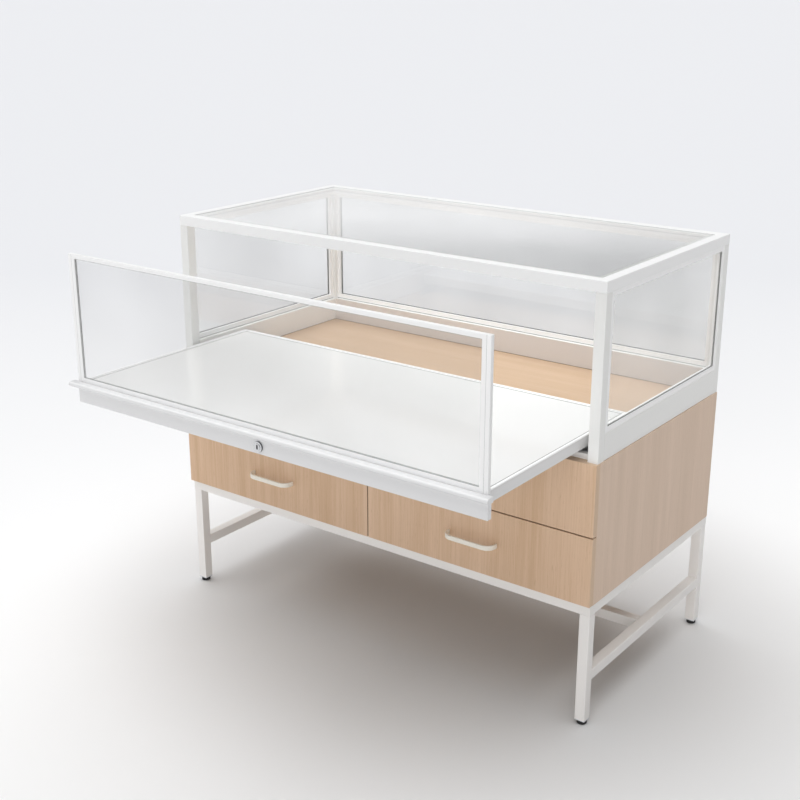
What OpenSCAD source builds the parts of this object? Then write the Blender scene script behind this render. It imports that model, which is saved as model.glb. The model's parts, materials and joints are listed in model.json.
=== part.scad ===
// Glass display counter: a white steel stand, an oak laminate cabinet with two drawers, and a glass
// case whose deck, front frame and front pane pull out together on telescopic slides.
// Millimetres, +Z up, front towards -Y. The floor is z = 0, x = 0 is the middle of the width, and
// y = 0 is the middle of the whole depth with the pull-out drawn open as it stands here.

/* [Overall] */
// Width of the steel stand and glass case
frame_w = 1195; // [1000:5:1400]
// Depth of the steel stand and glass case
frame_d = 598; // [570:1:640]
// Height from the floor to the underside of the cabinet
base_h = 296; // [220:1:400]
// Height of the wooden cabinet
cabinet_h = 326; // [300:1:400]
// Height of the glass case above the cabinet
case_h = 385; // [340:1:460]

/* [Steel tube] */
// Side of the square tube
tube = 25; // [24:1:28]
// Wall of the square tube
tube_wall = 1.5; // [1.2:0.1:2.5]
// Outer corner radius of the square tube
tube_r = 1.5; // [1:0.1:2.2]
// Height of the underside of the stretchers above the floor
stretcher_z = 107; // [60:1:150]

/* [Feet] */
// Height of a foot pad with its neck
foot_h = 9.5; // [8:0.5:14]
// Radius of a foot pad
foot_r = 11.5; // [10:0.5:14]
// Radius of a foot's threaded stem
stem_r = 4; // [3:0.5:5]

/* [Cabinet] */
// Thickness of the carcass boards
board = 18; // [16:1:20]
// Thickness of the fascia and drawer fronts
front_t = 16; // [14:1:18]
// Gap between neighbouring fronts
front_gap = 3; // [2:0.5:4]
// Height from the cabinet's top down to the seam between the fascia and the drawers
seam_drop = 164; // [150:1:170]
// Height from the seam down to the middle of a handle
handle_drop = 81; // [60:1:100]
// Thickness of the back panel
back_t = 8; // [5:1:10]

/* [Drawers] */
// Thickness of the drawer boards
drawer_board = 12; // [10:1:14]
// Length of a drawer box
drawer_len = 500; // [400:10:520]
// Width of a handle
handle_w = 132; // [100:1:160]
// Reach of a handle from the drawer front
handle_out = 30; // [26:1:36]
// Height of a handle's flat bar
handle_h = 11.5; // [9:0.5:14]
// Thickness of a handle's flat bar
handle_t = 4.5; // [3:0.5:6]

/* [Glass case] */
// Height of the steel skirts round the foot of the case
skirt_h = 61; // [54:1:70]
// Height of the glazing channel above the skirts
channel_low = 12; // [10:1:14]
// Width of the glazing channel under the rails and beside the posts
channel_high = 10; // [9:1:12]
// Thickness of the wall panes
glass_t = 5; // [4:1:6]
// Thickness of the top pane
top_glass_t = 6; // [5:1:8]
// Height of the low front sill
sill_h = 12; // [10:0.5:12]

/* [Pull-out display] */
// How far the pull-out is drawn here
pulled_out = 374; // [0:1:440]
// Height of the deck's top above the cabinet's top
deck_rise = 53; // [52:0.5:56]
// Thickness of the deck board
deck_t = 25; // [20:1:25]
// Thickness of the fascia board
fascia_t = 12; // [10:0.5:12]
// Reach of the rounded nose strip in front of the frame
nose_out = 20; // [14:1:26]
// Height of the nose strip
nose_h = 11; // [9:1:13]
// Width of the front frame's stiles
stile_w = 20; // [16:1:26]
// Height of the front frame's rails
rail_h = 10; // [9:1:16]
// Depth of the front frame, front to back
frame_t = 10; // [9:1:12]
// Length of the slides' short fixed carriages at the front of the case
carriage_len = 200; // [160:5:220]
// Length of the slides' middle members
middle_len = 380; // [340:5:400]

/* [Lock] */
// Radius of the lock's barrel
barrel_r = 9.2; // [8:0.1:9.2]
// Radius of the lock's turning plug
plug_r = 5.5; // [4.5:0.1:5.5]
// Reach of the cam from the lock's axis
cam_len = 16; // [14:0.5:16]
// Height of the lock's head over the fascia
head_h = 4; // [2:0.5:5]

/* [Hidden] */
$fn = 48;
half_w = frame_w / 2;
x_in = half_w - tube;
y_rear = frame_d - tube;
z_cab = base_h + cabinet_h;
z_top = z_cab + case_h;
y_mid = (frame_d - pulled_out - nose_out) / 2;
flange = 2;
leg_foot = foot_h + 0.5;
insert_h = 20;

// Cabinet: the boards stand 2.5 proud of the steel at the sides and the fronts overlay the carcass.
cab_half = half_w + 2.5;
y_face = -9;
y_carcass = y_face + front_t;
y_cab_back = frame_d - 3;
z_seam = z_cab - seam_drop;
side_in = cab_half - board;

// Drawer boxes: 12.5 for a runner at each side.
runner_t = 12.5;
runner_h = 35;
runner_len = drawer_len - 10;
box_out = side_in - runner_t;
box_in = board / 2 + runner_t;
box_mid = (box_out + box_in) / 2;
box_w = box_out - box_in;
box_z0 = base_h + board + 4;
box_h = z_seam - front_gap / 2 - 16 - box_z0;
runner_z = box_z0 + box_h / 2;
handle_z = z_seam - handle_drop;

// Pull-out heights and widths.
deck_z1 = z_cab + deck_rise;
deck_z0 = deck_z1 - deck_t;
deck_half = x_in - 10;
deck_back = y_rear - 12;
rim_w = 5;
rim_front = max(frame_t, fascia_t);
rim_h = 2.5;
nose_z0 = deck_z1 - nose_h;
fascia_z0 = z_cab + 1.5;
fascia_half = x_in - 1.5;
front_half = x_in - 2.5;
front_z1 = z_top - tube - 4;

// Glazing: a 14 deep channel set back 1 from the outer face, with the pane 3 in from it.
channel_d = 14;
pane_in = 3;
slot_play = 0.2;
slot_depth = 7;
ring_z0 = z_cab + skirt_h;
ring_z1 = z_top - tube;

// Lock on the fascia's middle, 18 over the cabinet's top.
lock_z = z_cab + 18;
barrel_len = tube + 0.4;
cam_t = 2;
cap_t = 0.9;

// Telescopic slide under the deck: the length of its inner member, and the heights between the sill
// and the deck. The fixed and middle members are short enough to stay under the drawn-out deck.
slide_y0 = tube + 2;
slide_len = 5 * floor((deck_back - slide_y0 - 30) / 5);
slide_inset = 34.5;
slide_x = x_in - slide_inset;
slide_z0 = z_cab + sill_h + 1;
slide_z1 = deck_z0 - 1;
screw_margin = 30;
steel = 1.2;

white = [0.93, 0.93, 0.92];
oak = [0.82, 0.68, 0.54];
clear = [0.85, 0.9, 0.9, 0.3];
zinc = [0.75, 0.76, 0.78];
black = [0.08, 0.08, 0.08];

// Puts a piece drawn from the front of the posts into the counter's own frame.
module place() {
  translate([0, -y_mid, 0]) children();
}

// Puts a piece of the pull-out, drawn closed, where it stands when drawn out.
module drawn() {
  translate([0, -pulled_out, 0]) children();
}

// A rectangle with round corners, its low corner at the origin.
module round_rect(w, h, r) {
  translate([r, 0]) square([w - 2 * r, h]);
  translate([0, r]) square([w, h - 2 * r]);
  for (x = [r, w - r], y = [r, h - r])
    translate([x, y]) circle(r);
}

// Section of a rectangular tube.
module tube_section(w, h) {
  difference() {
    round_rect(w, h, tube_r);
    translate([tube_wall, tube_wall]) square([w - 2 * tube_wall, h - 2 * tube_wall]);
  }
}

// Tubes from a low corner along each axis.
module tube_up(x, y, z, len) {
  translate([x, y, z]) linear_extrude(len) tube_section(tube, tube);
}

module tube_across(x, y, z, len, h = tube) {
  translate([x, y, z]) rotate([90, 0, 90]) linear_extrude(len) tube_section(tube, h);
}

module tube_back(x, y, z, len, h = tube) {
  translate([x, y + len, z]) rotate([90, 0, 0]) linear_extrude(len) tube_section(tube, h);
}

// A box between two corners.
module block(low, high) {
  translate(low) cube(high - low);
}

// Legs and posts. side: -1 left, 1 right. back: 0 front, 1 rear.
function tube_x(side) = side < 0 ? -half_w : x_in;
function tube_y(back) = back * y_rear;

module leg(side, back) {
  color(white) place()
    tube_up(tube_x(side), tube_y(back), leg_foot + flange, base_h - tube - leg_foot - flange);
}

module post(side, back) {
  color(white) place()
    tube_up(tube_x(side), tube_y(back), z_cab, case_h - tube);
}

// Mitred rings: each rail is a full-length tube cut at 45 degrees in plan at both ends.
module mitre_front(z) {
  translate([0, 0, z - 1]) linear_extrude(tube + 2)
    polygon([[-half_w, 0], [half_w, 0], [x_in, tube], [-x_in, tube]]);
}

module mitre_side(z) {
  translate([0, 0, z - 1]) linear_extrude(tube + 2)
    polygon([[half_w, 0], [half_w, frame_d], [x_in, y_rear], [x_in, tube]]);
}

module ring_rail_front(z) {
  intersection() {
    tube_across(-half_w, 0, z, frame_w);
    mitre_front(z);
  }
}

module ring_rail_rear(z) {
  translate([0, frame_d, 0]) mirror([0, 1, 0]) ring_rail_front(z);
}

module ring_rail_right(z) {
  intersection() {
    tube_back(x_in, 0, z, frame_d);
    mitre_side(z);
  }
}

module base_rail_front() { color(white) place() ring_rail_front(base_h - tube); }
module base_rail_rear() { color(white) place() ring_rail_rear(base_h - tube); }
module base_rail_right() { color(white) place() ring_rail_right(base_h - tube); }
module base_rail_left() { color(white) place() mirror([1, 0, 0]) ring_rail_right(base_h - tube); }
module top_rail_front() { color(white) place() ring_rail_front(z_top - tube); }
module top_rail_rear() { color(white) place() ring_rail_rear(z_top - tube); }
module top_rail_right() { color(white) place() ring_rail_right(z_top - tube); }
module top_rail_left() { color(white) place() mirror([1, 0, 0]) ring_rail_right(z_top - tube); }

module stretcher_right() {
  color(white) place() tube_back(x_in, tube, stretcher_z, frame_d - 2 * tube);
}

module stretcher_left() {
  color(white) place() tube_back(-half_w, tube, stretcher_z, frame_d - 2 * tube);
}

module stretcher_long() {
  color(white) place() tube_across(-x_in, (frame_d - tube) / 2, stretcher_z, 2 * x_in);
}

// Square plastic plug in a leg's end, with a flange under the tube and a bore for the foot's stem.
module insert(side, back) {
  hollow = tube - 2 * tube_wall;
  translate([tube_x(side) + tube / 2, tube_y(back) + tube / 2, leg_foot]) difference() {
    union() {
      translate([-tube / 2, -tube / 2, 0]) linear_extrude(flange) round_rect(tube, tube, tube_r);
      translate([-hollow / 2, -hollow / 2, 0]) cube([hollow, hollow, insert_h]);
    }
    translate([0, 0, -1]) cylinder(r = stem_r + 0.05, h = insert_h + 2);
  }
}

module foot_inserts() {
  color([0.88, 0.89, 0.9]) place()
    for (side = [-1, 1], back = [0, 1])
      insert(side, back);
}

// Levelling foot: a chamfered pad, a neck and a stem that runs up into the insert.
module foot(side, back) {
  neck = 0.6 * foot_r;
  color(black) place()
    translate([tube_x(side) + tube / 2, tube_y(back) + tube / 2, 0]) rotate_extrude()
      polygon([
        [0, 0], [foot_r - 1, 0], [foot_r, 1], [foot_r, foot_h - 2.5], [foot_r - 1, foot_h - 1.5],
        [neck, foot_h - 1.5], [neck, foot_h], [stem_r, foot_h], [stem_r, leg_foot + insert_h + 14],
        [0, leg_foot + insert_h + 14]
      ]);
}

// Cabinet carcass.
module cabinet_bottom() {
  color(oak) place()
    block([-side_in, y_carcass, base_h], [side_in, y_cab_back - back_t, base_h + board]);
}

module cabinet_side_right() {
  color(oak) place() block([side_in, y_carcass, base_h], [cab_half, y_cab_back, z_cab]);
}

module cabinet_side_left() {
  color(oak) place() block([-cab_half, y_carcass, base_h], [-side_in, y_cab_back, z_cab]);
}

module cabinet_back() {
  color(oak) place() block([-side_in, y_cab_back - back_t, base_h], [side_in, y_cab_back, z_cab]);
}

module cabinet_divider() {
  color(oak) place()
    block([-board / 2, y_carcass, base_h + board], [board / 2, y_cab_back - back_t, z_cab - board]);
}

module cabinet_top() {
  color(oak) place()
    block([-side_in, y_carcass, z_cab - board], [side_in, y_cab_back - back_t, z_cab]);
}

module upper_fascia() {
  color(oak) place()
    block([-cab_half, y_face, z_seam + front_gap / 2], [cab_half, y_carcass, z_cab]);
}

// Drawer runner members for the right side of a box whose side is at x: a fixed channel on the
// carcass and a smaller one, open the other way, on the box. They pass 0.5 apart.
module runner_fixed(x) {
  h = runner_h;
  translate([x, y_carcass + 5, runner_z - h / 2]) {
    translate([runner_t - steel, 0, 0]) cube([steel, runner_len, h]);
    for (z = [0, h - steel])
      translate([3, 0, z]) cube([runner_t - 3 - steel / 2, runner_len, steel]);
    for (z = [steel / 2, h - steel - 1.5])
      translate([3, 0, z]) cube([steel, runner_len, 1.5 + steel / 2]);
  }
}

module runner_moving(x) {
  h = runner_h - 2 * steel - 1;
  low = 3;
  translate([x, y_carcass + 5, runner_z - h / 2]) {
    translate([0, 0, low]) cube([steel, runner_len, h - 2 * low]);
    for (z = [low, h - low - steel])
      translate([0, 0, z]) cube([6, runner_len, steel]);
    for (z = [0, h - low - steel])
      translate([5, 0, z]) cube([steel, runner_len, low + steel]);
    for (z = [0, h - steel])
      translate([5, 0, z]) cube([5, runner_len, steel]);
  }
}

module cabinet_runners() {
  color(zinc) place() {
    for (s = [0, 1]) mirror([s, 0, 0]) {
      runner_fixed(box_out);
      translate([2 * box_mid, 0, 0]) mirror([1, 0, 0]) runner_fixed(box_out);
    }
  }
}

module drawer_runners() {
  runner_moving(box_out);
  translate([2 * box_mid, 0, 0]) mirror([1, 0, 0]) runner_moving(box_out);
}

// Right drawer; the left one is its mirror image.
module drawer_front() {
  block([front_gap / 2, y_face, base_h + 1], [cab_half, y_carcass, z_seam - front_gap / 2]);
}

module drawer_box() {
  b = drawer_board;
  difference() {
    block([box_in, y_carcass, box_z0], [box_out, y_carcass + drawer_len, box_z0 + box_h]);
    block([box_in + b, y_carcass + b, box_z0 + 12],
      [box_out - b, y_carcass + drawer_len - b, box_z0 + box_h + 1]);
    block([box_in + b, y_carcass + b, box_z0 - 1], [box_out - b, y_carcass + drawer_len - b, box_z0 + 6]);
  }
}

// A bow in plan: straight in front, with large quarter-round corners running back to the drawer.
module bow(w, out, r) {
  translate([r - w / 2, -out]) square([w - 2 * r, out]);
  translate([-w / 2, r - out]) square([w, out - r]);
  intersection() {
    translate([-w / 2, -out]) square([w, out]);
    for (s = [-1, 1])
      translate([s * (w / 2 - r), r - out]) circle(r);
  }
}

module drawer_handle() {
  r = handle_out - 6;
  translate([cab_half / 2, y_face, handle_z - handle_h / 2]) linear_extrude(handle_h)
    difference() {
      bow(handle_w, handle_out, r);
      translate([0, 1]) bow(handle_w - 2 * handle_t, handle_out + 1 - handle_t, r - handle_t);
    }
}

module drawer_right_front() { color(oak) place() drawer_front(); }
module drawer_left_front() { color(oak) place() mirror([1, 0, 0]) drawer_front(); }
module drawer_right_box() { color(white) place() drawer_box(); }
module drawer_left_box() { color(white) place() mirror([1, 0, 0]) drawer_box(); }
module drawer_right_handle() { color(white) place() drawer_handle(); }
module drawer_left_handle() { color(white) place() mirror([1, 0, 0]) drawer_handle(); }
module drawer_right_runners() { color(zinc) place() drawer_runners(); }
module drawer_left_runners() { color(zinc) place() mirror([1, 0, 0]) drawer_runners(); }

// Steel skirts and the low front sill, which is notched for the lock's barrel.
module skirt_right() { color(white) place() tube_back(x_in, tube, z_cab, frame_d - 2 * tube, skirt_h); }
module skirt_left() { color(white) place() tube_back(-half_w, tube, z_cab, frame_d - 2 * tube, skirt_h); }
module skirt_rear() { color(white) place() tube_across(-x_in, y_rear, z_cab, 2 * x_in, skirt_h); }

module case_sill() {
  notch_z = lock_z - barrel_r - 1;
  color(white) place() difference() {
    block([-x_in, fascia_t + 0.5, z_cab], [x_in, tube, z_cab + sill_h]);
    block([-barrel_r - 1.5, 0, notch_z], [barrel_r + 1.5, tube + 1, z_cab + sill_h + 1]);
  }
}

// Glazing channel round one wall opening, drawn with the wall along x and its outer face at y = 0.
module glazing_ring(len) {
  side = channel_high;
  slot_y = pane_in - 1 - slot_play;
  play = slot_depth - slot_play;
  translate([0, 1, 0]) difference() {
    block([0, 0, ring_z0], [len, channel_d, ring_z1]);
    block([side, -1, ring_z0 + channel_low], [len - side, channel_d + 1, ring_z1 - channel_high]);
    block([side - slot_depth, slot_y, ring_z0 + channel_low - slot_depth],
      [len - side + slot_depth, slot_y + glass_t + 2 * slot_play, ring_z1 - channel_high + slot_depth]);
  }
}

// Pane for that channel, held 0.2 clear on every side but its lower edge.
module pane(len) {
  side = channel_high - slot_depth + slot_play;
  block([side, pane_in, ring_z0 + channel_low - slot_depth],
    [len - side, pane_in + glass_t, ring_z1 - channel_high + slot_depth - slot_play]);
}

module on_right() { translate([half_w, tube, 0]) rotate([0, 0, 90]) children(); }
module on_left() { mirror([1, 0, 0]) on_right() children(); }
module on_rear() { translate([x_in, frame_d, 0]) rotate([0, 0, 180]) children(); }

module glazing_channels() {
  wall_d = frame_d - 2 * tube;
  color(white) place() {
    on_right() glazing_ring(wall_d);
    on_left() glazing_ring(wall_d);
    on_rear() glazing_ring(2 * x_in);
  }
}

module glass_right() { color(clear) place() on_right() pane(frame_d - 2 * tube); }
module glass_left() { color(clear) place() on_left() pane(frame_d - 2 * tube); }
module glass_rear() { color(clear) place() on_rear() pane(2 * x_in); }

// Top pane just under the rim's top face, on a welded ledge inside the rails.
module top_glass_ledge() {
  z = z_top - 1 - top_glass_t;
  color(white) place() difference() {
    block([-x_in, tube, z - 3], [x_in, y_rear, z]);
    block([12 - x_in, tube + 12, z - 4], [x_in - 12, y_rear - 12, z + 1]);
  }
}

module top_glass() {
  z = z_top - 1 - top_glass_t;
  color(clear) place()
    block([0.5 - x_in, tube + 0.5, z], [x_in - 0.5, y_rear - 0.5, z + top_glass_t]);
}

// Pull-out, drawn closed.
module display_deck() {
  color([0.97, 0.97, 0.97]) place() drawn() {
    block([-deck_half, fascia_t, deck_z0], [deck_half, deck_back, deck_z1]);
    difference() {
      block([-deck_half, rim_front, deck_z1 - 1], [deck_half, deck_back, deck_z1 + rim_h]);
      block([rim_w - deck_half, rim_front + rim_w, deck_z1 - 2],
        [deck_half - rim_w, deck_back - rim_w, deck_z1 + rim_h + 1]);
    }
  }
}

module display_fascia() {
  color([0.95, 0.95, 0.95]) place() drawn() difference() {
    block([-fascia_half, 0, fascia_z0], [fascia_half, fascia_t, nose_z0]);
    translate([0, -1, lock_z]) rotate([-90, 0, 0]) cylinder(r = barrel_r + 0.05, h = fascia_t + 2);
  }
}

// Nose strip: a bull-nosed edge over the fascia, wider than the gap between the posts.
module display_nose() {
  r = nose_h / 2;
  color(white) place() drawn() {
    block([-x_in - 10, r - nose_out, nose_z0], [x_in + 10, 0, deck_z1]);
    translate([-x_in - 10, r - nose_out, nose_z0 + r]) rotate([0, 90, 0])
      cylinder(r = r, h = 2 * x_in + 20);
    block([-front_half, -1, nose_z0], [front_half, fascia_t, deck_z1]);
  }
}

// Front frame with round outer arrises and a slot for the pane.
module display_frame() {
  slot = glass_t + 2 * slot_play;
  y = frame_t / 2 - slot / 2;
  d = 5;
  color(white) place() drawn() difference() {
    translate([-front_half, 0, deck_z1]) linear_extrude(front_z1 - deck_z1)
      round_rect(2 * front_half, frame_t, 3.5);
    block([stile_w - front_half, -1, deck_z1 + rail_h],
      [front_half - stile_w, frame_t + 1, front_z1 - rail_h]);
    block([stile_w - front_half - d, y, deck_z1 + rail_h - d],
      [front_half - stile_w + d, y + slot, front_z1 - rail_h + d]);
  }
}

module display_glass() {
  y = frame_t / 2 - glass_t / 2;
  d = 5 - slot_play;
  color(clear) place() drawn()
    block([stile_w - front_half - d, y, deck_z1 + rail_h - 5],
      [front_half - stile_w + d, y + glass_t, front_z1 - rail_h + d]);
}

// Cam lock: a face ring and barrel through the fascia, and a plug that carries the cam behind it.
module lock_barrel() {
  color([0.8, 0.8, 0.82]) place() drawn() translate([0, 0, lock_z]) rotate([-90, 0, 0]) difference() {
    union() {
      translate([0, 0, -head_h]) cylinder(r = barrel_r + 3, h = head_h);
      cylinder(r = barrel_r, h = barrel_len);
    }
    translate([0, 0, -head_h - 1]) cylinder(r = plug_r + 0.05, h = barrel_len + head_h + 2);
  }
}

module lock_plug() {
  color([0.7, 0.7, 0.72]) place() drawn() translate([0, 0, lock_z]) difference() {
    union() {
      translate([0, -head_h - 0.1 - cap_t, 0]) rotate([-90, 0, 0]) cylinder(r = plug_r + 2, h = cap_t);
      translate([0, -head_h - 0.5, 0]) rotate([-90, 0, 0]) cylinder(r = plug_r, h = barrel_len + head_h + 1);
      translate([0, barrel_len + 0.4, 0]) rotate([-90, 0, 0]) cylinder(r = 5, h = cam_t);
      block([0, barrel_len + 0.4, -5], [cam_len, barrel_len + 0.4 + cam_t, 5]);
    }
    block([-0.9, -head_h - 2, -4], [0.9, 4, 4]);
  }
}

// Screw holes in a row along a flange.
module screw_row(x, z, len, count) {
  for (n = [0 : count - 1])
    translate([x, slide_y0 + screw_margin + n * (len - 2 * screw_margin) / (count - 1), z])
      cylinder(r = 2.2, h = 4);
}

// Telescopic slide on the right, drawn closed. The outer channel stands on a foot flange behind the
// sill, the middle channel runs inside it, and the inner one hangs from the deck and faces them.
module slide_outer() {
  len = carriage_len;
  translate([slide_x - steel, slide_y0, z_cab]) cube([steel, len, slide_z1 - z_cab]);
  for (z = [slide_z0, slide_z1 - steel])
    translate([slide_x - 11, slide_y0, z]) cube([11 - steel / 2, len, steel]);
  difference() {
    translate([slide_x - steel, slide_y0, z_cab]) cube([18, len, 2]);
    screw_row(slide_x + 9, z_cab - 1, len, 3);
  }
}

module slide_middle() {
  play = 0.6;
  z0 = slide_z0 + steel + play;
  z1 = slide_z1 - steel - play;
  x = slide_x - steel - 0.8;
  translate([x - 1, slide_y0, z0]) cube([1, middle_len, z1 - z0]);
  for (z = [z0, z1 - 1])
    translate([x - 9.8, slide_y0, z]) cube([9.3, middle_len, 1]);
}

module slide_inner() {
  play = 0.6;
  z0 = slide_z0 + steel + 1 + 2 * play;
  z1 = slide_z1 - steel - 1 - 2 * play;
  x = slide_x - steel - 0.8 - 11;
  difference() {
    union() {
      translate([x - steel, slide_y0, z0]) cube([steel, slide_len, deck_z0 - z0]);
      translate([x - 18, slide_y0, deck_z0 - steel]) cube([18, slide_len, steel]);
    }
    screw_row(x - 10, deck_z0 - 3, slide_len, 5);
  }
  for (z = [z0, z1 - 1])
    translate([x - 0.5, slide_y0, z]) cube([9.7, slide_len, 1]);
}

module both_sides() {
  children();
  mirror([1, 0, 0]) children();
}

module display_slide_outers() { color(zinc) place() both_sides() slide_outer(); }

module display_slide_middles() {
  color(zinc) place() translate([0, -pulled_out / 2, 0]) both_sides() slide_middle();
}

module display_slide_inners() { color(zinc) place() drawn() both_sides() slide_inner(); }

module leg_front_left() { leg(-1, 0); }
module leg_front_right() { leg(1, 0); }
module leg_rear_left() { leg(-1, 1); }
module leg_rear_right() { leg(1, 1); }
module foot_front_left() { foot(-1, 0); }
module foot_front_right() { foot(1, 0); }
module foot_rear_left() { foot(-1, 1); }
module foot_rear_right() { foot(1, 1); }
module post_front_left() { post(-1, 0); }
module post_front_right() { post(1, 0); }
module post_rear_left() { post(-1, 1); }
module post_rear_right() { post(1, 1); }

leg_front_left();
leg_front_right();
leg_rear_left();
leg_rear_right();
base_rail_front();
base_rail_rear();
base_rail_left();
base_rail_right();
stretcher_left();
stretcher_right();
stretcher_long();
foot_inserts();
foot_front_left();
foot_front_right();
foot_rear_left();
foot_rear_right();
cabinet_bottom();
cabinet_side_left();
cabinet_side_right();
cabinet_back();
cabinet_divider();
cabinet_top();
upper_fascia();
cabinet_runners();
drawer_left_front();
drawer_left_box();
drawer_left_handle();
drawer_left_runners();
drawer_right_front();
drawer_right_box();
drawer_right_handle();
drawer_right_runners();
post_front_left();
post_front_right();
post_rear_left();
post_rear_right();
top_rail_front();
top_rail_rear();
top_rail_left();
top_rail_right();
skirt_left();
skirt_right();
skirt_rear();
case_sill();
glazing_channels();
glass_left();
glass_right();
glass_rear();
top_glass_ledge();
top_glass();
display_deck();
display_fascia();
display_nose();
display_frame();
display_glass();
lock_barrel();
lock_plug();
display_slide_outers();
display_slide_middles();
display_slide_inners();
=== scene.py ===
# %% [markdown]
# # A glass display counter, dressed for a studio picture
#
# The counter is a white steel stand, an oak laminate cabinet with two drawers, and a glass case whose white deck and
# framed front pane pull out together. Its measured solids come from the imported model. This lesson gives each of them
# a finish, replaces a few by pieces with softer edges, and adds the small things that make it look made: gaskets,
# edge bands, a key slot and screw heads.

# %% Load the measured model
import bpy
import json
from math import pi, radians
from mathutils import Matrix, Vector


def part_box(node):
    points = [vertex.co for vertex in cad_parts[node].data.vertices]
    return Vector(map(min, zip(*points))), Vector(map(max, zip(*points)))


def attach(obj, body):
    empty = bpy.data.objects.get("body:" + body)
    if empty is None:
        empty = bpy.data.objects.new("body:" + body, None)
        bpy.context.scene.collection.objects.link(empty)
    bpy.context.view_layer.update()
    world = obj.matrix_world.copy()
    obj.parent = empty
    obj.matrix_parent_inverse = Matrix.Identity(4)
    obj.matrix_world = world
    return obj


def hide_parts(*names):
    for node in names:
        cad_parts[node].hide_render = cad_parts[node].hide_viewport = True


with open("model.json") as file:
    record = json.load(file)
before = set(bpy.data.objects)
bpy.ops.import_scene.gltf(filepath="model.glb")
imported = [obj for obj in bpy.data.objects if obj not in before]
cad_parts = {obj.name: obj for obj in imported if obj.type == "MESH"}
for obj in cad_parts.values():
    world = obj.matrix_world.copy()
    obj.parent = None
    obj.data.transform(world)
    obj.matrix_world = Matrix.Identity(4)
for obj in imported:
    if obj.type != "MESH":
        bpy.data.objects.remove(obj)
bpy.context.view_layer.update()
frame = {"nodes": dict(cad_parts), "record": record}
nodes = frame["nodes"]

# %% [markdown]
# ## The camera
#
# The photograph was solved as a plain pinhole camera: a lens of 56.7 mm on a 36 mm sensor, 1.58 m above the floor,
# to the right of the counter's front, looking down by 18.7 degrees and turned 36.8 degrees to the left. The camera
# could be placed by eye, but numbers solved from the counter's own corners put every edge where the picture has it.

# %% Set the camera
LENS_MM, SENSOR_MM = 56.69, 36.0
CAMERA_AT = (1.7150, -2.2729, 1.5786)
CAMERA_TILT, CAMERA_TURN = 71.281, 36.819  # degrees up from straight down, and to the left of straight back

camera_data = bpy.data.cameras.new("studio_camera")
camera_data.lens = LENS_MM
camera_data.sensor_width = SENSOR_MM
camera = bpy.data.objects.new("studio_camera", camera_data)
camera.location = CAMERA_AT
camera.rotation_euler = (radians(CAMERA_TILT), 0.0, radians(CAMERA_TURN))
bpy.context.scene.collection.objects.link(camera)
bpy.context.scene.camera = camera
bpy.context.scene.view_settings.view_transform = "Standard"
print("camera at", CAMERA_AT)

# %% [markdown]
# ## Colours and nodes
#
# Paint colours are easiest to compare as the hex values that a screen shows, while a shader works with linear light,
# so one function turns the first into the second. A second function adds a node with its settings and its links in
# one line, which keeps each material short enough to read as a recipe.

# %% Two helpers for materials
def linear(hex_colour):
    """A screen colour such as 'D8B48C' as linear red, green, blue and alpha."""
    shown = [int(hex_colour[i:i + 2], 16) / 255 for i in (0, 2, 4)]
    return tuple(c / 12.92 if c <= 0.04045 else ((c + 0.055) / 1.055) ** 2.4 for c in shown) + (1.0,)


def add(owner, kind, inputs=None, **settings):
    """A new node in a material or world: its socket values or the sockets that feed them, and its properties."""
    tree = owner.node_tree
    node = tree.nodes.new("ShaderNode" + kind)
    for name, value in settings.items():
        setattr(node, name, value)
    for name, value in (inputs or {}).items():
        if isinstance(value, bpy.types.NodeSocket):
            tree.links.new(value, node.inputs[name])
        else:
            node.inputs[name].default_value = value
    return node


def new_material(name):
    """An empty node material and its output node."""
    material = bpy.data.materials.new(name)
    material.use_nodes = True
    material.node_tree.nodes.clear()
    return material, add(material, "OutputMaterial")


def finish_surface(material, output, shader):
    """Links a shader to the output."""
    material.node_tree.links.new(shader, output.inputs["Surface"])
    print("material", material.name)
    return material


print("helpers ready")

# %% [markdown]
# ## The studio floor
#
# The picture has no visible room: a pale paper floor runs up past the top of the frame. Its brightness falls off a
# little towards the far end and towards the right, which is painted light falloff, and round the counter lies a soft
# painted shadow. All three are in the paint of the floor, as soft gradients over Object coordinates: more lamps
# could draw them too, but they would light the counter as well.

# %% Floor
FLOOR_SIZE = 400.0
FADE_FAR = 4.0  # metres behind the counter at which the paper is at its greyest
FADE_ASIDE = 1.4  # and metres towards the right front
# a painted shadow round the counter: where its middle lies, how it is stretched, where it is darkest and where it ends
PAINTED_SHADOW_SHIFT = (-0.06, -0.27, 0.0)  # the greyer pool lies behind the middle of the counter
PAINTED_SHADOW_SCALE = (1 / 1.18, 1.0, 1.0)  # and is a little wider than deep
PAINTED_SHADOW_FULL, PAINTED_SHADOW_END = 0.5, 1.05  # metres from its middle at which it is greyest and at which it ends

bpy.ops.object.select_all(action="DESELECT")
bpy.ops.mesh.primitive_grid_add(x_subdivisions=8, y_subdivisions=8, size=FLOOR_SIZE, location=(0, 0, 0))
floor = bpy.context.object
floor.name = "studio_floor"

floor_paint, out = new_material("matt_studio_floor")
place = add(floor_paint, "TexCoord")
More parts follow.
